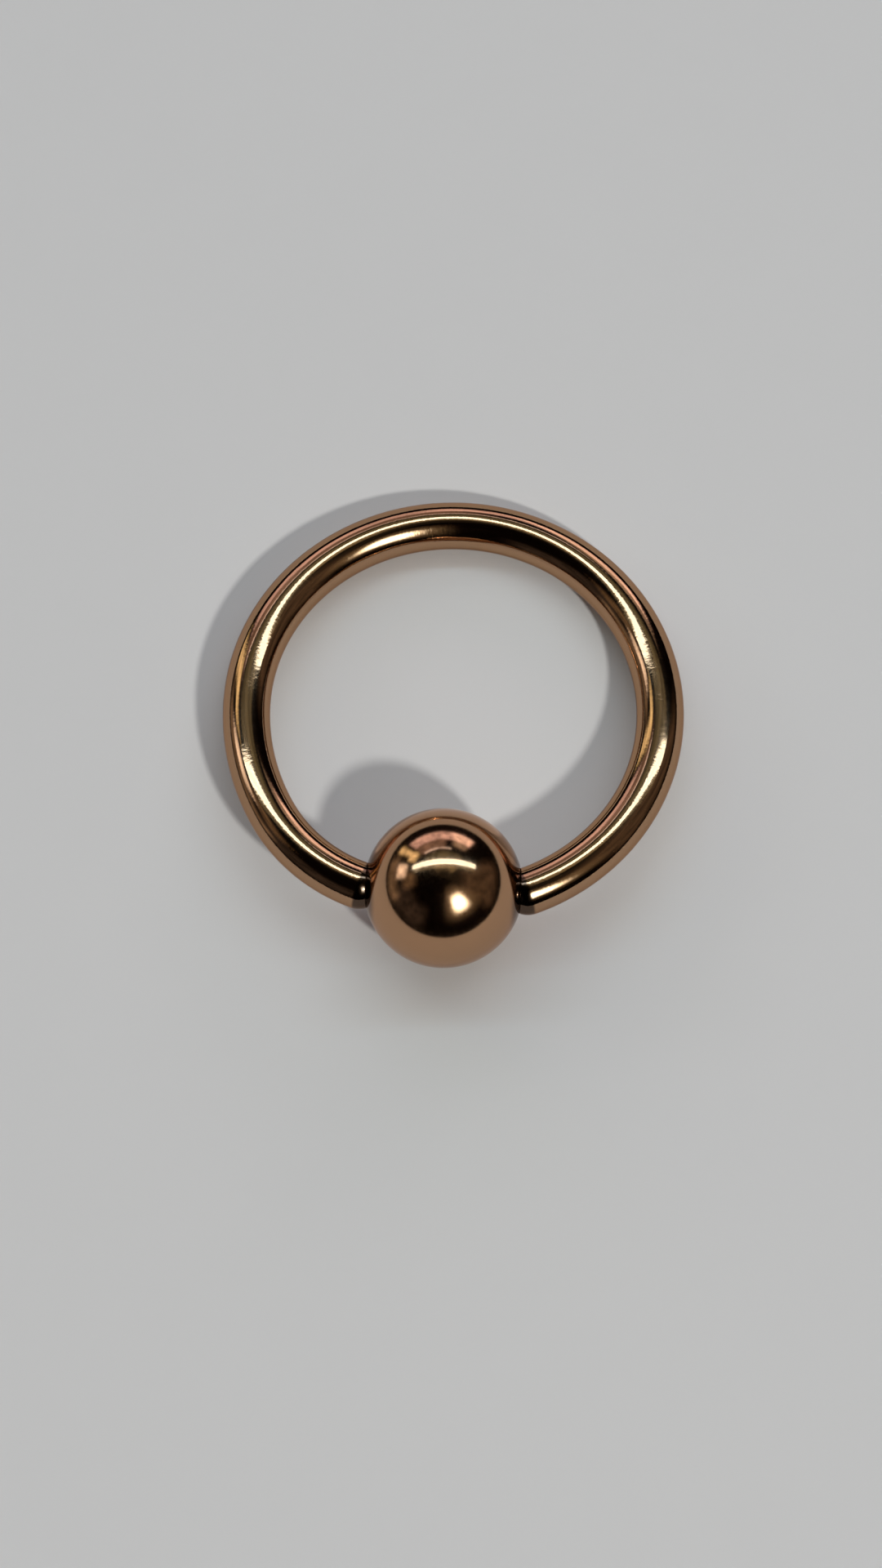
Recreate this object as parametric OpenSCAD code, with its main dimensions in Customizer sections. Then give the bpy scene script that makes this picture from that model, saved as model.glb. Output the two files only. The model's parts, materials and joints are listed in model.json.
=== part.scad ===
// Captive bead ring: an open ring of round wire whose two ends hold a dimpled ball.
// Millimetres, +Z up. It lies on a flat surface with the bead towards -Y, touching at
// the far side of the wire and under the bead, which lifts the near side of the ring.

/* [Wire] */
// Thickness of the wire
wire_d = 1.6; // [1.2:0.01:2]
// Inner diameter of the round part of the ring
inner_d = 12.3; // [10:0.01:16]

/* [Left arm] */
// Angle round the ring from +X at which the left arm leaves the round part
arm_start = 180; // [170:1:195]
// Slope at which the left arm comes down to the bead
tip_slope = 19; // [8:1:24]
// How far the bead sits left of the middle of the round part
bead_offset = 0.09; // [0:0.01:0.4]

/* [Bead] */
// Diameter of the bead
bead_d = 5.3; // [4:0.1:7]
// How deep each domed wire end reaches into the bead
seat_depth = 0.65; // [0.3:0.01:0.8]
// Running gap between each wire end and its dimple
seat_gap = 0.03; // [0.02:0.01:0.06]

/* [Hidden] */
$fn = 60;

// Radii and angles are kept to round numbers, so that where two stretches of wire
// meet, the end face of one is exactly the end face of the other
length_step = 0.001;
angle_step = 0.01;
function rounded(x, step) = round(x / step) * step;
function along(angle) = [cos(angle), sin(angle)];
function turned(v) = [-v[1], v[0]];
function heading(v) = atan2(v[1], v[0]);

// Radius of the arc that spans a chord and has the given direction at the end it starts from
function bend(chord, dir) = rounded(chord * chord / (2 * (turned(dir) * chord)), length_step);

wire_r = wire_d / 2;
bead_r = bead_d / 2;
ring_r = rounded(inner_d / 2 + wire_r, length_step);

// The ring's plane has x to the right, y away from the bead and 0,0 at the middle of
// the round part. The centres of the two domed ends lie level, one each side of the bead.
tip_reach = bead_r - seat_depth + wire_r;
right_end = -rounded(acos((tip_reach - bead_offset) / ring_r), angle_step);
right_tip = ring_r * along(right_end);
bead_centre = [-bead_offset, right_tip[1]];
arm_aim = [-bead_offset - tip_reach, right_tip[1]];

// The left arm is two arcs, tangent to the round part, to each other and to the slope
// of the arm's end. The handle is the length of the lines that set where they meet.
arm_from = rounded(arm_start, angle_step);
lower_end = 270 - rounded(tip_slope, angle_step);
arm_root = ring_r * along(arm_from);
root_dir = along(arm_from + 90);
tip_dir = along(lower_end + 90);
span = arm_aim - arm_root;
run = span * (root_dir + tip_dir);
spread = 2 * (1 - root_dir * tip_dir);
handle = (sqrt(run * run + spread * (span * span)) - run) / spread;
meet = (arm_root + arm_aim + handle * (root_dir - tip_dir)) / 2;
upper_chord = meet - arm_root;
lower_chord = meet - arm_aim;
upper_r = bend(upper_chord, root_dir);
lower_r = bend(lower_chord, tip_dir);
upper_end = arm_from + rounded(2 * (heading(upper_chord) + 270 - arm_from), angle_step);
upper_centre = (ring_r - upper_r) * along(arm_from);
lower_centre = upper_centre + (upper_r - lower_r) * along(upper_end);
left_tip = lower_centre + lower_r * along(lower_end);

// At rest the far side of the wire and the bead both touch z = 0
rest_tilt = asin((bead_r - wire_r) / (ring_r - bead_centre[1]));
leftmost = arm_from < 180 ? upper_centre[0] - upper_r : -ring_r;
middle = [(ring_r + leftmost) / 2, ((ring_r + bead_centre[1]) * cos(rest_tilt) + wire_r - bead_r) / 2];
centre_h = wire_r + ring_r * sin(rest_tilt);

// Lays what is drawn in the ring's plane where the ring rests
module at_rest() {
    translate([-middle[0], -middle[1], centre_h])
        rotate([-rest_tilt, 0, 0])
            children();
}

// Moves to a point by a coarse and a fine step, which together lose no digits
module placed(point) {
    coarse = [rounded(point[0], 0.01), rounded(point[1], 0.01)];
    translate(coarse)
        translate(point - coarse)
            children();
}

// Stretch of round wire bent about a centre, from one angle to another
module bent_wire(centre, bend_r, from, to) {
    placed(centre)
        rotate_extrude(start = from, angle = to - from)
            translate([bend_r, 0])
                circle(r = wire_r);
}

// Right half of a disc about 0,0, with its straight side on the y axis
module half_disc(r) {
    intersection() {
        circle(r = r);
        translate([0, -r])
            square([r, 2 * r]);
    }
}

// Half ball that closes the wire, on the half turn that starts at the angle from
module domed_end(tip, from) {
    placed(tip)
        rotate_extrude(start = from, angle = 180)
            half_disc(wire_r);
}

// Open ring, as it lies at rest
module ring() {
    color("#c08a5c")
        at_rest()
            union() {
                domed_end(right_tip, right_end - 180);
                bent_wire([0, 0], ring_r, right_end, arm_from);
                bent_wire(upper_centre, upper_r, arm_from, upper_end);
                bent_wire(lower_centre, lower_r, upper_end, lower_end);
                domed_end(left_tip, lower_end);
            }
}

// Ball turned about X, with a dimple at each end of that axis
module bead() {
    color("#b97f52")
        at_rest()
            placed(bead_centre)
                rotate([0, 90, 0])
                    rotate_extrude()
                        difference() {
                            half_disc(bead_r);
                            for (side = [-1, 1])
                                translate([0, side * tip_reach])
                                    circle(r = wire_r + seat_gap);
                        }
}

ring();
bead();
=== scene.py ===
"""Captive bead ring on a pale sheet: an open hoop of polished wire that holds a dimpled ball."""

import json
import math
from collections import namedtuple

import bmesh
import bpy
from mathutils import Matrix, Vector


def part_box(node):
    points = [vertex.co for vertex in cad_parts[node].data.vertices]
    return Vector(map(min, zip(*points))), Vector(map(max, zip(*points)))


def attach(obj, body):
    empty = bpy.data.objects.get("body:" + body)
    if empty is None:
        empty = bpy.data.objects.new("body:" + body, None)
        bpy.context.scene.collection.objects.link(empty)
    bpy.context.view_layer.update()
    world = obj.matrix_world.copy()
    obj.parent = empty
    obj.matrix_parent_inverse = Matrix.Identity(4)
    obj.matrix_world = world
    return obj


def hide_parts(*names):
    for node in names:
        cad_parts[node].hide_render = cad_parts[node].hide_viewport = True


bl_info = {
    "name": "Captive Bead Ring",
    "version": (1, 0, 0),
    "blender": (4, 5, 0),
    "location": "3D View > Sidebar > Bead Ring",
    "description": "Builds a polished captive bead ring and the sheet, lights and camera that show it",
    "category": "Add Mesh",
}

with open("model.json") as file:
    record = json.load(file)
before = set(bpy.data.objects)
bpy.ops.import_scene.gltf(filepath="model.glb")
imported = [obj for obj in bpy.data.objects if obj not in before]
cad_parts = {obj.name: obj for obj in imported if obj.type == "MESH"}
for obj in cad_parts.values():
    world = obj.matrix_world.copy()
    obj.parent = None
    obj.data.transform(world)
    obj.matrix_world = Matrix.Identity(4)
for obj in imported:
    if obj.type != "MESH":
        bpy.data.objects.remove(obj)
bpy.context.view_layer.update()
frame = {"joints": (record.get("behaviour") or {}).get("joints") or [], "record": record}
MM = 0.001
MERGE_DISTANCE = 0.0002 * MM

# The frame gives the spin axis, the far side of the wire and how wide the hoop is. The ring lies
# with the bead and the far side of the wire on the ground, so their heights are their radii.
BEAD_MIDDLE = Vector(next(joint for joint in frame["joints"] if joint["name"] == "bead_spin")["pos_m"])
FAR_WIRE = Vector(next(m for m in frame["record"]["mounts"] if m["name"] == "piercing_seat")["pos_m"])
HOOP_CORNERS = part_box("ring")
MESH_ROUNDING = 5
HOOP_WIDTH = round(HOOP_CORNERS[1].x - HOOP_CORNERS[0].x, MESH_ROUNDING)
REST_TILT = math.atan2(BEAD_MIDDLE.z - FAR_WIRE.z, FAR_WIRE.y - BEAD_MIDDLE.y)

# A stretch of the wire's middle line, in the hoop's plane, from one angle to another about a centre
Arc = namedtuple("Arc", "centre radius start end")

# Turn before the start of an arc that still counts as its own, so that the first dome is on the first arc
BEFORE_START = 0.4

# How a metal is marked: its tint at grazing angles, and the spacing and depth of its polishing marks
Surface = namedtuple("Surface", "edge_tint spacing mark_depth")
WIRE_SURFACE = Surface((0.75, 0.62, 0.55), (0.12 * MM, 0.22 * MM, 0.22 * MM), 0.0035 * MM)
BEAD_SURFACE = Surface((0.95, 0.85, 0.8), (0.1 * MM,) * 3, 0.0005 * MM)

# Dark colour painted in and round the seats as shade, where the wire meets the bead. On the wire it
# starts where a dome does and is full a little further on. On the bead it starts and is full at these
# distances along X from the middle.
SEAT_SHADE_COLOUR = (0.02, 0.012, 0.01, 1)
SEAT_SHADE_COVER = 0.85
# Weight of a thin clear coat laid over the painted seat shade
SEAT_SHADE_COAT = 0.3
WIRE_SEAT_SHADE_FADE = 0.1 * MM
BEAD_SEAT_SHADE = (2.2 * MM, 2.45 * MM)

# A soft patch of light in the room, by its middle and its half sizes in degrees
Card = namedtuple("Card", "name azimuth elevation half_width half_height blur colour strength")

# What stands round the ring, mottled by the things in the room
ROOM_CARDS = [
    Card("Wall", -4, 22, 37, 7, 3, (1.0, 0.82, 0.92), 1.25),
    Card("Top of the wall", -20, 37, 21, 7, 4, (1.0, 0.78, 0.75), 0.34),
    Card("Picture rail", -12, 44, 24, 1.2, 1.2, (0.9, 0.95, 1.1), 1.3),
    Card("Door", 22, 28, 10, 10, 4, (1.0, 0.92, 0.85), 0.7),
    Card("Foot of the door", 20, 20, 12, 4, 4, (1.0, 0.95, 0.95), 0.5),
    Card("Lamp rim", -52, 36, 8, 5, 4, (1.0, 0.93, 0.6), 1.7),
    Card("Lamp stand", -51, 20, 4, 11, 3.5, (1.0, 0.93, 0.6), 1.5),
    Card("Lampshade", -76, 27, 9, 7, 4, (1.0, 1.0, 1.0), 1.8),
    Card("Curtain", -90, 40, 12, 9, 7, (1.0, 0.8, 0.55), 0.22),
    Card("Shelf", -84, 12, 24, 7, 6, (1.0, 0.85, 0.65), 0.26),
    Card("Room behind", -125, 22, 28, 16, 10, (1.0, 0.9, 0.85), 0.05),
    Card("Cupboard", 88, 36, 27, 26, 9, (1.0, 0.8, 0.6), 0.11),
    Card("Ceiling near the tube", 0, 55, 42, 5, 5, (0.95, 1.0, 0.7), 0.2),
    Card("Ceiling above the tube", 4, 72, 50, 5, 5, (1.0, 0.97, 0.65), 0.2),
    Card("Ceiling", 20, 78, 85, 15, 10, (1.0, 0.95, 0.7), 0.02),
]

# The glow that polished metal shows round the small lamp
LAMP_CARDS = [
    Card("Near glow", 143, 48.5, 12, 9, 9, (0.85, 1.0, 1.0), 13.0),
    Card("Far glow", 142, 50, 25, 18, 14, (1.0, 0.88, 0.62), 0.36),
]
DARK_ROOM = (0.003, 0.0018, 0.0015)
BACKDROP = (0.5, 0.5, 0.49, 1)

# The small lamp, as the way to it from the ring, its distance, its width and its colour
KEY_WAY = Vector((0.388, -0.524, 0.758))
KEY_DISTANCE = 0.6
KEY_WIDTH = 0.045
KEY_COLOUR = (1.0, 0.985, 0.93)

# The soft light that lifts the shadows on the sheet
FILL_PLACE = (0, 0.2, 0.45)
FILL_AIM = (0, 0.005, 0)
FILL_WIDTH = 0.6
FILL_COLOUR = (1.0, 0.97, 1.0)

# The lights of the tube, which hang over and behind the ring. Their power is a share of the tube's,
# and their places and sizes are shares of the height that they hang at.
LongLight = namedtuple("LongLight", "name back power colour length width lights_paper")
LONG_LIGHTS = [
    LongLight("Tube light", 0.45, 1.0, (0.66, 0.87, 1.0), 2.06, 0.08, True),
    LongLight("Tube glare", 0.45, 3.5, (0.6, 0.78, 0.88), 2.08, 0.14, False),
    LongLight("Tube reflector", 0.344, 0.1, (0.95, 1.0, 0.75), 1.96, 0.185, True),
]
TUBE_HEIGHT = 0.8
TUBE_TURN = math.radians(3.6)

SHEET_RADIUS = 3.0
FOCAL_LENGTH = 121.875
CLIP_RANGE = (0.01, 10)


class HoopSizes(bpy.types.PropertyGroup):
    """Sizes of the wire and the bead"""

    wire_diameter: bpy.props.FloatProperty(
        name="Wire diameter", description="Thickness of the wire",
        default=2 * FAR_WIRE.z, unit="LENGTH", precision=5)
    inner_diameter: bpy.props.FloatProperty(
        name="Inner diameter", description="Inner diameter of the round part of the hoop",
        default=HOOP_WIDTH - 4 * FAR_WIRE.z, unit="LENGTH", precision=5)
    arm_start: bpy.props.FloatProperty(
        name="Arm start", description="Angle round the hoop at which the left arm leaves the round part",
        default=math.radians(180), unit="ROTATION")
    tip_slope: bpy.props.FloatProperty(
        name="Tip slope", description="Slope at which the left arm comes down to the bead",
        default=math.radians(19), unit="ROTATION")
    bead_diameter: bpy.props.FloatProperty(
        name="Bead diameter", description="Diameter of the bead",
        default=2 * BEAD_MIDDLE.z, unit="LENGTH", precision=5)
    seat_depth: bpy.props.FloatProperty(
        name="Seat depth", description="How deep each domed wire end reaches into the bead",
        default=0.65 * MM, unit="LENGTH", precision=5)
    seat_gap: bpy.props.FloatProperty(
        name="Seat gap", description="Running gap between each wire end and its dimple",
        default=0.03 * MM, unit="LENGTH", precision=5)
    rim_radius: bpy.props.FloatProperty(
        name="Rim radius", description="Rounding that polishing leaves on the rim of each dimple",
        default=0.05 * MM, unit="LENGTH", precision=5)


class HoopFinish(bpy.types.PropertyGroup):
    """Colours and polish of the metal"""

    wire_colour: bpy.props.FloatVectorProperty(
        name="Wire colour", description="Rose gold of the wire",
        default=(0.44, 0.26, 0.15), subtype="COLOR", size=3, min=0, max=1)
    bead_colour: bpy.props.FloatVectorProperty(
        name="Bead colour", description="Rose gold of the bead",
        default=(0.46, 0.26, 0.145), subtype="COLOR", size=3, min=0, max=1)
    worn_colour: bpy.props.FloatVectorProperty(
        name="Worn colour", description="Duller tone where skin and cloth have rubbed",
        default=(0.38, 0.23, 0.135), subtype="COLOR", size=3, min=0, max=1)
    wire_polish: bpy.props.FloatProperty(
        name="Wire polish", description="Roughness of the cleanest metal of the wire",
        default=0.07, min=0, max=1, subtype="FACTOR")
    bead_polish: bpy.props.FloatProperty(
        name="Bead polish", description="Roughness of the cleanest metal of the bead",
        default=0.09, min=0, max=1, subtype="FACTOR")
    wire_haze: bpy.props.FloatProperty(
        name="Wire haze", description="Roughness that the finest marks add on the wire",
        default=0.03, min=0, max=1, subtype="FACTOR")
    wire_grain: bpy.props.FloatProperty(
        name="Wire grain", description="How far the marks draw the highlights out along the wire",
        default=0.15, min=0, max=1, subtype="FACTOR")
    bead_haze: bpy.props.FloatProperty(
        name="Bead haze", description="Roughness that the finest marks add on the bead",
        default=0.06, min=0, max=1, subtype="FACTOR")


class StageSettings(bpy.types.PropertyGroup):
    """Sheet, lights and camera"""

    paper_colour: bpy.props.FloatVectorProperty(
        name="Paper", description="Colour of the sheet",
        default=(0.8, 0.8, 0.81), subtype="COLOR", size=3, min=0, max=1)
    key_strength: bpy.props.FloatProperty(
        name="Key light", description="Power of the small lamp in watts", default=1.28, min=0)
    tube_strength: bpy.props.FloatProperty(
        name="Tube light", description="Power of the long tube light in watts", default=1.5, min=0)
    fill_strength: bpy.props.FloatProperty(
        name="Fill light", description="Power of the wide soft light in watts", default=0.43, min=0)
    camera_azimuth: bpy.props.FloatProperty(
        name="Azimuth", description="Camera's angle round the ring, 0 from the bead's side",
        default=math.radians(3.062), unit="ROTATION")
    camera_elevation: bpy.props.FloatProperty(
        name="Elevation", description="Camera's angle above the sheet",
        default=math.radians(74.664), unit="ROTATION")
    camera_roll: bpy.props.FloatProperty(
        name="Roll", description="Camera's turn about its own axis",
        default=math.radians(-0.907), unit="ROTATION")
    camera_distance: bpy.props.FloatProperty(
        name="Distance", description="Camera's distance from the point it looks at",
        default=178.77 * MM, unit="LENGTH", precision=5)
    camera_target: bpy.props.FloatVectorProperty(
        name="Target", description="Point that the camera looks at",
        default=(-0.334 * MM, -1.594 * MM, 0.746 * MM), subtype="TRANSLATION", size=3, precision=5)


def along(angle):
    """Unit vector at an angle from +X in the hoop's plane."""
    return Vector((math.cos(angle), math.sin(angle)))


def tip_reach(size):
    """Distance from the middle of the bead to the middle of each domed wire end."""
    return (size.bead_diameter + size.wire_diameter) / 2 - size.seat_depth


def bend_radius(chord, direction):
    """Radius of the arc that spans a chord and has the given direction at the end it starts from."""
    left = Vector((-direction.y, direction.x))
    return chord.length_squared / (2 * left.dot(chord))


def wire_arcs(size):
    """The wire's middle line in the hoop's plane: the round part, then the two arcs of the left arm."""
    wire_r = size.wire_diameter / 2
    hoop_r = size.inner_diameter / 2 + wire_r
    reach = tip_reach(size)
    right_end = -math.acos((reach + BEAD_MIDDLE.x) / hoop_r)
    left_end = 1.5 * math.pi - size.tip_slope
    root = hoop_r * along(size.arm_start)
    aim = Vector((BEAD_MIDDLE.x - reach, hoop_r * math.sin(right_end)))
    root_dir = along(size.arm_start + math.pi / 2)
    tip_dir = along(left_end + math.pi / 2)
    span = aim - root
    run = span.dot(root_dir + tip_dir)
    spread = 2 * (1 - root_dir.dot(tip_dir))
    handle = (math.sqrt(run * run + spread * span.length_squared) - run) / spread
    meet = (root + aim + handle * (root_dir - tip_dir)) / 2
    upper_r = bend_radius(meet - root, root_dir)
    lower_r = bend_radius(meet - aim, tip_dir)
    upper_centre = (hoop_r - upper_r) * along(size.arm_start)
    turn = 2 * root_dir.angle(meet - root)
    upper_end = size.arm_start + turn
    lower_centre = upper_centre + (upper_r - lower_r) * along(upper_end)
    return [
        Arc(Vector((0, 0)), hoop_r, right_end, size.arm_start),
        Arc(upper_centre, upper_r, size.arm_start, upper_end),
        Arc(lower_centre, lower_r, upper_end, left_end),
    ]


def nearest_arc(point, arcs):
    """The arc that a point of the wire is on, its spoke and turn there, and the length before the arc."""
    travelled = 0.0
    for arc in arcs:
        spoke = point.xy - arc.centre
        turn = (math.atan2(spoke.y, spoke.x) - arc.start + BEFORE_START) % (2 * math.pi) - BEFORE_START
        if turn <= arc.end - arc.start or arc is arcs[-1]:
            return arc, spoke, turn, travelled
        travelled += arc.radius * (arc.end - arc.start)


def unrolled(point, arcs):
    """Where a point of the wire would be if the wire were pulled straight along X."""
    arc, spoke, turn, travelled = nearest_arc(point, arcs)
    return Vector((travelled + arc.radius * turn, spoke.length - arc.radius, point.z))


def lengthways(point, arcs):
    """Direction of the wire at one of its points, in the hoop's plane."""
    _, spoke, _, _ = nearest_arc(point, arcs)
    return Vector((-spoke.y, spoke.x, 0)).normalized()


def resting_place(hoop_r):
    """Matrix that lays the hoop's plane where the ring rests."""
    back_along_hoop = Vector((0, -math.cos(REST_TILT), math.sin(REST_TILT)))
    centre = FAR_WIRE + hoop_r * back_along_hoop
    return Matrix.Translation(centre) @ Matrix.Rotation(-REST_TILT, 4, "X")


def cross_section(arc, angle):
    """Matrix that stands a circle across the wire, its X outwards and its Z along the wire."""
    out = along(angle)
    middle = arc.centre + arc.radius * out
    return Matrix((
        (out.x, 0, -out.y, middle.x),
        (out.y, 0, out.x, middle.y),
        (0, -1, 0, 0),
        (0, 0, 0, 1),
    ))


def add_dome(bm, place, wire_r, sides, heading):
    """Half ball on one end of the wire, on the side of the cross-section that heading gives, 1 or -1."""
    layers = 40
    ball = bmesh.ops.create_uvsphere(bm, u_segments=sides, v_segments=layers, radius=wire_r, matrix=place)
    verts = ball["verts"]
    faces = list({face for vert in verts for face in vert.link_faces})
    edges = list({edge for vert in verts for edge in vert.link_edges})
    wire_dir = place.to_3x3() @ Vector((0, 0, heading))
    bmesh.ops.bisect_plane(
        bm, geom=verts + edges + faces, dist=0.01 * wire_r, plane_co=place.translation, plane_no=wire_dir,
        clear_inner=True)


def new_piece(name, bm, material, body, node):
    """Makes the object of a finished mesh and ties it to the frame."""
    for face in bm.faces:
        face.smooth = True
    mesh = bpy.data.meshes.new(name)
    bm.to_mesh(mesh)
    bm.free()
    mesh.materials.append(material)
    piece = bpy.data.objects.new(name, mesh)
    bpy.context.scene.collection.objects.link(piece)
    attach(piece, body)
    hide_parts(node)
    return piece


def new_group(name, inputs, outputs):
    """Empty shader node group with its sockets, given as (name, type, default) and (name, type)."""
    group = bpy.data.node_groups.new(name, "ShaderNodeTree")
    for socket_name, socket_type, default in inputs:
        socket = group.interface.new_socket(name=socket_name, in_out="INPUT", socket_type=socket_type)
        if default is not None:
            socket.default_value = default
    for socket_name, socket_type in outputs:
        group.interface.new_socket(name=socket_name, in_out="OUTPUT", socket_type=socket_type)
    return group


def put(tree, kind, links=None, **settings):
    """Adds a node, sets its properties, and feeds its inputs from values or from other nodes' outputs."""
    node = tree.nodes.new(kind)
    for key, value in settings.items():
        setattr(node, key, value)
    for socket, source in (links or {}).items():
        if isinstance(source, bpy.types.NodeSocket):
            tree.links.new(source, node.inputs[socket])
        else:
            node.inputs[socket].default_value = source
    return node


def math_node(tree, operation, *values):
    """Output of a Math node on values or sockets."""
    return put(tree, "ShaderNodeMath", dict(enumerate(values)), operation=operation).outputs[0]


def polishing_marks():
    """Group: fine noise drawn out along the way the surface was polished."""
    group = new_group(
        "Polishing Marks",
        [("Vector", "NodeSocketVector", None), ("Spacing", "NodeSocketVector", (0.0002,) * 3)],
        [("Height", "NodeSocketFloat"), ("Haze", "NodeSocketFloat")])
    inside = put(group, "NodeGroupInput")
    scaled = put(group, "ShaderNodeVectorMath",
                 {0: inside.outputs["Vector"], 1: inside.outputs["Spacing"]}, operation="DIVIDE")
    marks = put(group, "ShaderNodeTexNoise",
                {"Vector": scaled.outputs[0], "Scale": 1.0, "Detail": 3.0, "Roughness": 0.6})
    clouds = put(group, "ShaderNodeTexNoise",
                 {"Vector": scaled.outputs[0], "Scale": 0.17, "Detail": 2.0, "Roughness": 0.5})
    strong = put(group, "ShaderNodeMapRange",
                 {"Value": clouds.outputs[0], "From Min": 0.35, "From Max": 0.7,
                  "To Min": 0.35, "To Max": 1.0})
    centred = math_node(group, "SUBTRACT", marks.outputs[0], 0.5)
    height = math_node(group, "MULTIPLY", centred, strong.outputs[0])
    dulled = put(group, "ShaderNodeMapRange",
                 {"Value": marks.outputs[0], "From Min": 0.4, "From Max": 0.7})
    haze = math_node(group, "MULTIPLY", dulled.outputs[0], strong.outputs[0])
    put(group, "NodeGroupOutput", {"Height": height, "Haze": haze})
    return group


def hairlines():
    """Group: thin wandering scratches that come and go over the surface."""
    group = new_group(
        "Hairline Scratches",
        [("Vector", "NodeSocketVector", None), ("Spacing", "NodeSocketFloat", 0.001),
         ("Width", "NodeSocketFloat", 0.008), ("Bare Share", "NodeSocketFloat", 0.58)],
        [("Mask", "NodeSocketFloat")])
    inside = put(group, "NodeGroupInput")
    scale = math_node(group, "DIVIDE", 1.0, inside.outputs["Spacing"])
    lines = put(group, "ShaderNodeTexNoise",
                {"Vector": inside.outputs["Vector"], "Scale": scale, "Detail": 1.0, "Distortion": 0.4})
    off_line = math_node(group, "ABSOLUTE", math_node(group, "SUBTRACT", lines.outputs[0], 0.5))
    line = put(group, "ShaderNodeMapRange",
               {"Value": off_line, "From Min": 0.0, "From Max": inside.outputs["Width"],
                "To Min": 1.0, "To Max": 0.0}, interpolation_type="SMOOTHSTEP")
    breaks = put(group, "ShaderNodeTexNoise",
                 {"Vector": inside.outputs["Vector"], "Scale": math_node(group, "MULTIPLY", scale, 1.7),
                  "Detail": 2.0})
    there = put(group, "ShaderNodeMapRange",
                {"Value": breaks.outputs[0], "From Min": inside.outputs["Bare Share"],
                 "From Max": math_node(group, "ADD", inside.outputs["Bare Share"], 0.1)},
                interpolation_type="SMOOTHSTEP")
    mask = math_node(group, "MULTIPLY", line.outputs[0], there.outputs[0])
    put(group, "NodeGroupOutput", {"Mask": mask})
    return group


def tone_drift():
    """Group: slow change of tone, as a coating and handling leave it."""
    group = new_group(
        "Tone Drift",
        [("Vector", "NodeSocketVector", None), ("Spacing", "NodeSocketFloat", 0.004)],
        [("Mask", "NodeSocketFloat")])
    inside = put(group, "NodeGroupInput")
    scale = math_node(group, "DIVIDE", 1.0, inside.outputs["Spacing"])
    slow = put(group, "ShaderNodeTexNoise",
               {"Vector": inside.outputs["Vector"], "Scale": scale, "Detail": 3.0, "Roughness": 0.55})
    mask = put(group, "ShaderNodeMapRange", {"Value": slow.outputs[0], "From Min": 0.4, "From Max": 0.72})
    put(group, "NodeGroupOutput", {"Mask": mask.outputs[0]})
    return group


def painted_seat_shade():
    """Group: 1 where dark colour is painted as shade in and round the seats, past a distance along X."""
    group = new_group(
        "Painted Seat Shade",
        [("Vector", "NodeSocketVector", None), ("Unshaded To", "NodeSocketFloat", 0.0),
         ("Dark From", "NodeSocketFloat", 0.001)],
        [("Mask", "NodeSocketFloat")])
    inside = put(group, "NodeGroupInput")
    x = put(group, "ShaderNodeSeparateXYZ", {0: inside.outputs["Vector"]}).outputs["X"]
    mask = put(group, "ShaderNodeMapRange",
               {"Value": math_node(group, "ABSOLUTE", x), "From Min": inside.outputs["Unshaded To"],
                "From Max": inside.outputs["Dark From"]}, interpolation_type="SMOOTHSTEP")
    put(group, "NodeGroupOutput", {"Mask": mask.outputs[0]})
    return group


def shared_group(name, make):
    """The named group, made the first time that it is asked for."""
    return bpy.data.node_groups.get(name) or make()


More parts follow.
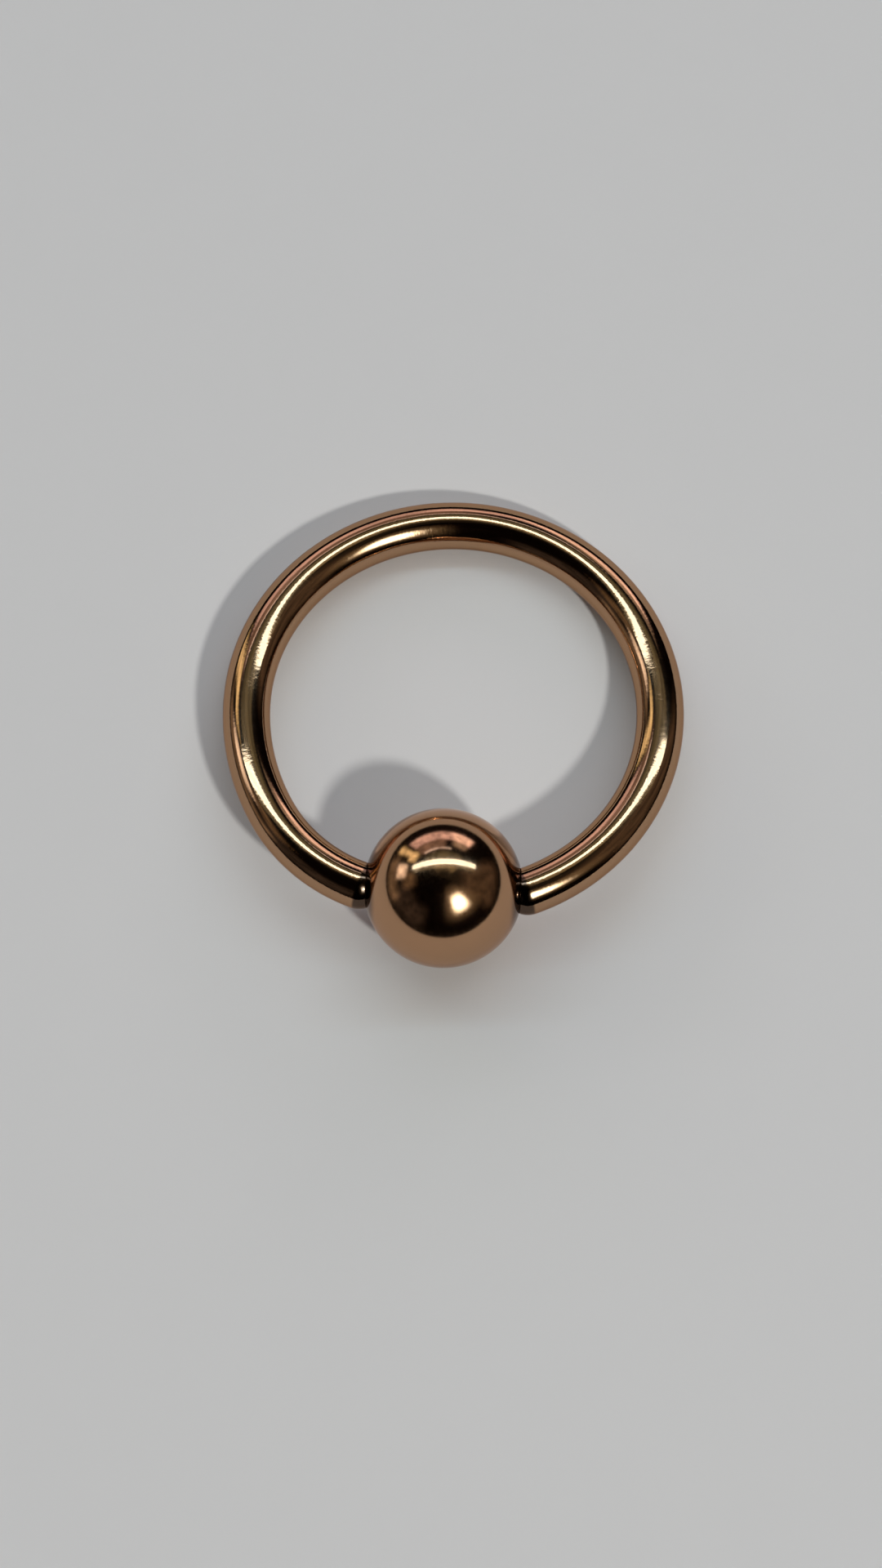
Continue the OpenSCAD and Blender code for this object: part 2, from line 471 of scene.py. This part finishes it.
def polished_metal(name, colour, worn, polish, haze, surface, place, unshaded_to, shaded_from):
    """Rose-gold metal with polishing marks, hairlines, a slow drift of tone and painted shade at the
    seats.
    place adds the node that gives the coordinates that they follow."""
    worn_share = 0.35
    scratch_haze, worn_haze = 0.03, 0.015
    scratch_height = -0.006
    material = bpy.data.materials.new(name)
    material.use_nodes = True
    tree = material.node_tree
    shader = tree.nodes["Principled BSDF"]
    shader.inputs["Metallic"].default_value = 1.0
    shader.inputs["Specular Tint"].default_value = (*surface.edge_tint, 1)
    where = place(tree)
    marks = put(tree, "ShaderNodeGroup", node_tree=shared_group("Polishing Marks", polishing_marks))
    tree.links.new(where, marks.inputs["Vector"])
    marks.inputs["Spacing"].default_value = surface.spacing
    scratches = put(tree, "ShaderNodeGroup", node_tree=shared_group("Hairline Scratches", hairlines))
    tree.links.new(where, scratches.inputs["Vector"])
    drift = put(tree, "ShaderNodeGroup", node_tree=shared_group("Tone Drift", tone_drift))
    tree.links.new(where, drift.inputs["Vector"])

    worn_mask = math_node(tree, "MULTIPLY", drift.outputs["Mask"], worn_share)
    tone = put(tree, "ShaderNodeMix", {"Factor": worn_mask, "A": (*colour, 1), "B": (*worn, 1)},
               data_type="RGBA")
    # Painted shade: the seats are darkened towards a near-black colour, with a thin clear coat over it
    seat_shade = put(tree, "ShaderNodeGroup", node_tree=shared_group("Painted Seat Shade", painted_seat_shade))
    tree.links.new(where, seat_shade.inputs["Vector"])
    seat_shade.inputs["Unshaded To"].default_value = unshaded_to
    seat_shade.inputs["Dark From"].default_value = shaded_from
    shade_cover = math_node(tree, "MULTIPLY", seat_shade.outputs["Mask"], SEAT_SHADE_COVER)
    shaded_tone = put(tree, "ShaderNodeMix",
                {"Factor": shade_cover, "A": tone.outputs["Result"], "B": SEAT_SHADE_COLOUR}, data_type="RGBA")
    tree.links.new(shaded_tone.outputs["Result"], shader.inputs["Base Color"])
    glossy = math_node(tree, "MULTIPLY", seat_shade.outputs["Mask"], SEAT_SHADE_COAT)
    tree.links.new(glossy, shader.inputs["Coat Weight"])

    hazy = math_node(tree, "MULTIPLY_ADD", marks.outputs["Haze"], haze, polish)
    rough = math_node(tree, "MULTIPLY_ADD", scratches.outputs["Mask"], scratch_haze, hazy)
    rough = math_node(tree, "MULTIPLY_ADD", drift.outputs["Mask"], worn_haze, rough)
    tree.links.new(rough, shader.inputs["Roughness"])

    height = math_node(
        tree, "MULTIPLY_ADD", scratches.outputs["Mask"], scratch_height, marks.outputs["Height"])
    bump = put(tree, "ShaderNodeBump",
               {"Height": height, "Strength": 1.0, "Distance": surface.mark_depth})
    tree.links.new(bump.outputs[0], shader.inputs["Normal"])
    return material


def draw_out_highlights(material, amount, attribute):
    """Draws a metal's highlights out along the directions that a mesh attribute holds."""
    tree = material.node_tree
    shader = tree.nodes["Principled BSDF"]
    shader.inputs["Anisotropic"].default_value = amount
    held = put(tree, "ShaderNodeAttribute", attribute_name=attribute).outputs["Vector"]
    turned = put(tree, "ShaderNodeVectorTransform", {0: held}, vector_type="VECTOR",
                 convert_from="OBJECT", convert_to="WORLD")
    tree.links.new(turned.outputs[0], shader.inputs["Tangent"])


def unrolled_wire_place(tree):
    """Coordinates along and round the wire as if it were straight."""
    return put(tree, "ShaderNodeAttribute", attribute_name="unrolled").outputs["Vector"]


def bead_place(tree):
    """Object coordinates measured from the middle of the bead."""
    coordinates = put(tree, "ShaderNodeTexCoord").outputs["Object"]
    return put(tree, "ShaderNodeMapping", {"Vector": coordinates, "Location": -BEAD_MIDDLE}).outputs[0]


class BEADRING_OT_add_hoop(bpy.types.Operator):
    """Adds the open hoop of round wire with its two domed ends"""

    bl_idname = "bead_ring.add_hoop"
    bl_label = "Add Hoop"

    def execute(self, context):
        size, finish = context.scene.hoop_sizes, context.scene.hoop_finish
        wire_r = size.wire_diameter / 2
        sides = 72
        step = 0.2 * MM
        arcs = wire_arcs(size)
        bm = bmesh.new()
        start = cross_section(arcs[0], arcs[0].start)
        end = cross_section(arcs[-1], arcs[-1].end)
        circle = bmesh.ops.create_circle(bm, segments=sides, radius=wire_r, cap_ends=False, matrix=start)
        verts = circle["verts"]
        section = verts + list({edge for vert in verts for edge in vert.link_edges})
        for arc in arcs:
            turn = arc.end - arc.start
            spun = bmesh.ops.spin(
                bm, geom=section, cent=(*arc.centre, 0), axis=(0, 0, 1), angle=turn,
                steps=round(arc.radius * turn / step))
            section = spun["geom_last"]
        add_dome(bm, start, wire_r, sides, -1)
        add_dome(bm, end, wire_r, sides, 1)
        bmesh.ops.remove_doubles(bm, verts=bm.verts, dist=MERGE_DISTANCE)
        bmesh.ops.recalc_face_normals(bm, faces=bm.faces)
        half_length = sum(arc.radius * (arc.end - arc.start) for arc in arcs) / 2
        straight = [unrolled(vert.co, arcs) - Vector((half_length, 0, 0)) for vert in bm.verts]
        rest = resting_place(arcs[0].radius)
        directions = [rest.to_3x3() @ lengthways(vert.co, arcs) for vert in bm.verts]
        bmesh.ops.transform(bm, matrix=rest, verts=bm.verts)
        # The wire's painted seat shade starts at its domes and is full a little further on
        metal = polished_metal(
            "Polished rose-gold wire", finish.wire_colour, finish.worn_colour, finish.wire_polish,
            finish.wire_haze, WIRE_SURFACE, unrolled_wire_place, half_length,
            half_length + WIRE_SEAT_SHADE_FADE)
        draw_out_highlights(metal, finish.wire_grain, "lengthways")
        hoop = new_piece("hoop", bm, metal, "ring", "ring")
        for name, vectors in ("unrolled", straight), ("lengthways", directions):
            layer = hoop.data.attributes.new(name, "FLOAT_VECTOR", "POINT")
            layer.data.foreach_set("vector", [number for vector in vectors for number in vector])
        return {"FINISHED"}


class BEADRING_OT_add_bead(bpy.types.Operator):
    """Adds the ball with a dimple at each end of its spin axis"""

    bl_idname = "bead_ring.add_bead"
    bl_label = "Add Bead"

    def execute(self, context):
        size, finish = context.scene.hoop_sizes, context.scene.hoop_finish
        bead_r = size.bead_diameter / 2
        reach = tip_reach(size)
        dimple_r = size.wire_diameter / 2 + size.seat_gap
        rim_r = size.rim_radius
        dimple_steps, rim_steps, ball_steps, round_steps = 20, 10, 72, 256
        rim_x = ((bead_r - rim_r) ** 2 - (dimple_r + rim_r) ** 2 + reach ** 2) / (2 * reach)
        rim_z = math.sqrt((bead_r - rim_r) ** 2 - rim_x ** 2)
        ball_angle = math.atan2(rim_z, rim_x)
        dimple_angle = math.atan2(rim_z, reach - rim_x)
        bm = bmesh.new()
        outline = [bmesh.ops.create_vert(bm, co=(reach - dimple_r, 0, 0))["vert"][0]]
        for centre, turn, steps in [
            ((reach, 0, 0), dimple_angle, dimple_steps),
            ((rim_x, 0, rim_z), -(dimple_angle + ball_angle), rim_steps),
            ((0, 0, 0), -(math.pi / 2 - ball_angle), ball_steps),
        ]:
            spun = bmesh.ops.spin(bm, geom=outline, cent=centre, axis=(0, 1, 0), angle=turn, steps=steps)
            outline = [item for item in spun["geom_last"] if isinstance(item, bmesh.types.BMVert)]
        bmesh.ops.spin(
            bm, geom=bm.verts[:] + bm.edges[:], cent=(0, 0, 0), axis=(1, 0, 0), angle=2 * math.pi,
            steps=round_steps, use_merge=True)
        bmesh.ops.mirror(
            bm, geom=bm.verts[:] + bm.edges[:] + bm.faces[:], axis="X", merge_dist=MERGE_DISTANCE)
        bmesh.ops.remove_doubles(bm, verts=bm.verts, dist=MERGE_DISTANCE)
        bmesh.ops.recalc_face_normals(bm, faces=bm.faces)
        bmesh.ops.translate(bm, vec=BEAD_MIDDLE, verts=bm.verts)
        # The bead's painted seat shade sits round its dimples
        metal = polished_metal(
            "Polished rose-gold bead", finish.bead_colour, finish.worn_colour, finish.bead_polish,
            finish.bead_haze, BEAD_SURFACE, bead_place, *BEAD_SEAT_SHADE)
        new_piece("ball", bm, metal, "bead", "bead")
        return {"FINISHED"}


def soft_card_group():
    """Group: 1 inside a patch of the sky given in degrees, falling softly to 0 outside it."""
    names = ["Azimuth", "Elevation", "Middle Azimuth", "Middle Elevation", "Half Width", "Half Height",
             "Blur"]
    inputs = [(name, "NodeSocketFloat", 0.0) for name in names]
    group = new_group("Soft Card", inputs, [("Mask", "NodeSocketFloat")])
    inside = put(group, "NodeGroupInput").outputs
    falls = []
    for angle, middle, half in (names[0], names[2], names[4]), (names[1], names[3], names[5]):
        off = math_node(group, "ABSOLUTE", math_node(group, "SUBTRACT", inside[angle], inside[middle]))
        falls.append(put(
            group, "ShaderNodeMapRange",
            {"Value": off, "From Min": math_node(group, "SUBTRACT", inside[half], inside["Blur"]),
             "From Max": math_node(group, "ADD", inside[half], inside["Blur"]),
             "To Min": 1.0, "To Max": 0.0},
            interpolation_type="SMOOTHSTEP").outputs[0])
    put(group, "NodeGroupOutput", {"Mask": math_node(group, "MULTIPLY", *falls)})
    return group


def lay_cards(tree, cards, azimuth, elevation, light):
    """Adds each card's light to a light, and gives the sum."""
    for card in cards:
        mask = put(tree, "ShaderNodeGroup", node_tree=shared_group("Soft Card", soft_card_group))
        tree.links.new(azimuth, mask.inputs["Azimuth"])
        tree.links.new(elevation, mask.inputs["Elevation"])
        for socket, value in zip(list(mask.inputs)[2:], card[1:6]):
            socket.default_value = value
        tint = [channel * card.strength for channel in card.colour]
        added = put(tree, "ShaderNodeVectorMath", {0: mask.outputs[0], 1: tint, 2: light},
                    operation="MULTIPLY_ADD", label=card.name)
        light = added.outputs[0]
    return light


def build_room():
    """World: a dark room with a few soft patches of light, and plain pale grey past the sheet."""
    world = bpy.data.worlds.new("Dim room")
    bpy.context.scene.world = world
    world.use_nodes = True
    tree = world.node_tree
    tree.nodes.clear()
    sky = put(tree, "ShaderNodeTexCoord").outputs["Generated"]
    axes = put(tree, "ShaderNodeSeparateXYZ", {0: sky}).outputs
    azimuth = math_node(tree, "DEGREES", math_node(tree, "ARCTAN2", axes["X"], axes["Y"]))
    elevation = math_node(tree, "DEGREES", math_node(tree, "ARCSINE", axes["Z"]))
    room_light = lay_cards(tree, ROOM_CARDS, azimuth, elevation, DARK_ROOM)
    clutter = put(tree, "ShaderNodeTexNoise",
                  {"Vector": sky, "Scale": 7.0, "Detail": 3.0, "Roughness": 0.6})
    mottle = put(tree, "ShaderNodeMapRange",
                 {"Value": clutter.outputs[0], "From Min": 0.36, "From Max": 0.64,
                  "To Min": 0.6, "To Max": 1.4})
    mottled = put(tree, "ShaderNodeVectorMath", {0: room_light, "Scale": mottle.outputs[0]},
                  operation="SCALE")
    rays = put(tree, "ShaderNodeLightPath").outputs
    glow = lay_cards(tree, LAMP_CARDS, azimuth, elevation, (0, 0, 0))
    light = put(tree, "ShaderNodeVectorMath", {0: glow, 1: rays["Is Glossy Ray"], 2: mottled.outputs[0]},
                operation="MULTIPLY_ADD").outputs[0]
    room = put(tree, "ShaderNodeBackground", {"Color": light, "Strength": 1.0})
    plain = put(tree, "ShaderNodeBackground", {"Color": BACKDROP, "Strength": 1.0})
    mixed = put(tree, "ShaderNodeMixShader",
                {0: rays["Is Camera Ray"], 1: room.outputs[0], 2: plain.outputs[0]})
    put(tree, "ShaderNodeOutputWorld", {"Surface": mixed.outputs[0]})


def add_area_light(name, place, aim, power, colour, shape, size, size_y=None):
    """Area light at a place, turned to a point, that the camera doesn't see."""
    lamp = bpy.data.lights.new(name, "AREA")
    lamp.energy, lamp.color, lamp.shape, lamp.size = power, colour, shape, size
    if size_y:
        lamp.size_y = size_y
    light = bpy.data.objects.new(name, lamp)
    light.location = place
    light.rotation_euler = (Vector(place) - Vector(aim)).to_track_quat("Z", "Y").to_euler()
    light.visible_camera = False
    bpy.context.scene.collection.objects.link(light)
    return light


def paper_material(colour):
    """Matt paper with a faint fibre grain."""
    material = bpy.data.materials.new("Pale paper")
    material.use_nodes = True
    tree = material.node_tree
    shader = tree.nodes["Principled BSDF"]
    shader.inputs["Roughness"].default_value = 0.9
    shader.inputs["Specular IOR Level"].default_value = 0.2
    coordinates = put(tree, "ShaderNodeTexCoord").outputs["Object"]
    fibres = put(tree, "ShaderNodeTexNoise", {"Vector": coordinates, "Scale": 400.0, "Detail": 4.0})
    amount = math_node(tree, "MULTIPLY", fibres.outputs[0], 0.06)
    tone = put(tree, "ShaderNodeMix", {"Factor": amount, "A": (*colour, 1), "B": (0.6, 0.6, 0.6, 1)},
               data_type="RGBA")
    tree.links.new(tone.outputs["Result"], shader.inputs["Base Color"])
    return material


def add_camera(settings):
    """Camera at the angle that the ring was photographed from."""
    azimuth, elevation = settings.camera_azimuth, settings.camera_elevation
    back = Vector((math.sin(azimuth) * math.cos(elevation), -math.cos(azimuth) * math.cos(elevation),
                   math.sin(elevation)))
    right = Vector((math.cos(azimuth), math.sin(azimuth), 0))
    up = back.cross(right)
    level = Matrix((right, up, back)).transposed().to_4x4()
    camera = bpy.data.cameras.new("Camera")
    camera.lens = FOCAL_LENGTH
    camera.clip_start, camera.clip_end = CLIP_RANGE
    seen = bpy.data.objects.new("Camera", camera)
    place = Vector(settings.camera_target) + settings.camera_distance * back
    seen.matrix_world = Matrix.Translation(place) @ level @ Matrix.Rotation(settings.camera_roll, 4, "Z")
    bpy.context.scene.collection.objects.link(seen)
    bpy.context.scene.camera = seen


class BEADRING_OT_add_stage(bpy.types.Operator):
    """Adds the sheet of paper, the lights and the camera"""

    bl_idname = "bead_ring.add_stage"
    bl_label = "Add Stage"

    def execute(self, context):
        settings = context.scene.stage_settings
        bm = bmesh.new()
        bmesh.ops.create_circle(bm, cap_ends=True, segments=96, radius=SHEET_RADIUS)
        mesh = bpy.data.meshes.new("sheet")
        bm.to_mesh(mesh)
        bm.free()
        mesh.materials.append(paper_material(settings.paper_colour))
        sheet = bpy.data.objects.new("sheet", mesh)
        context.scene.collection.objects.link(sheet)
        add_area_light("Key light", KEY_WAY * KEY_DISTANCE, (0, 0, 0), settings.key_strength,
                       KEY_COLOUR, "DISK", KEY_WIDTH)
        for part in LONG_LIGHTS:
            light = add_area_light(
                part.name, (0, part.back * TUBE_HEIGHT, TUBE_HEIGHT), (0, 0, 0),
                part.power * settings.tube_strength, part.colour, "RECTANGLE", part.length * TUBE_HEIGHT,
                part.width * TUBE_HEIGHT)
            light.rotation_euler.rotate_axis("Z", TUBE_TURN)
            light.visible_diffuse = part.lights_paper
        fill = add_area_light("Fill light", FILL_PLACE, FILL_AIM, settings.fill_strength, FILL_COLOUR,
                              "DISK", FILL_WIDTH)
        fill.visible_glossy = False
        build_room()
        context.scene.view_settings.view_transform = "Standard"
        add_camera(settings)
        return {"FINISHED"}


class BEADRING_PT_panel(bpy.types.Panel):
    """Lists the sizes, the finish, the stage and the buttons that build them"""

    bl_idname = "BEADRING_PT_panel"
    bl_label = "Captive Bead Ring"
    bl_space_type = "VIEW_3D"
    bl_region_type = "UI"
    bl_category = "Bead Ring"

    def draw(self, context):
        for settings, operators in [
            (context.scene.hoop_sizes, (BEADRING_OT_add_hoop, BEADRING_OT_add_bead)),
            (context.scene.hoop_finish, ()),
            (context.scene.stage_settings, (BEADRING_OT_add_stage,)),
        ]:
            box = self.layout.box()
            for name in settings.__annotations__:
                box.prop(settings, name)
            for operator in operators:
                box.operator(operator.bl_idname)


CLASSES = (
    HoopSizes, HoopFinish, StageSettings,
    BEADRING_OT_add_hoop, BEADRING_OT_add_bead, BEADRING_OT_add_stage, BEADRING_PT_panel,
)


def register():
    for made in CLASSES:
        bpy.utils.register_class(made)
    bpy.types.Scene.hoop_sizes = bpy.props.PointerProperty(type=HoopSizes)
    bpy.types.Scene.hoop_finish = bpy.props.PointerProperty(type=HoopFinish)
    bpy.types.Scene.stage_settings = bpy.props.PointerProperty(type=StageSettings)


def unregister():
    del bpy.types.Scene.stage_settings
    del bpy.types.Scene.hoop_finish
    del bpy.types.Scene.hoop_sizes
    for made in reversed(CLASSES):
        bpy.utils.unregister_class(made)


def main():
    register()
    bpy.ops.bead_ring.add_stage()
    bpy.ops.bead_ring.add_hoop()
    bpy.ops.bead_ring.add_bead()


if __name__ == "__main__":
    main()
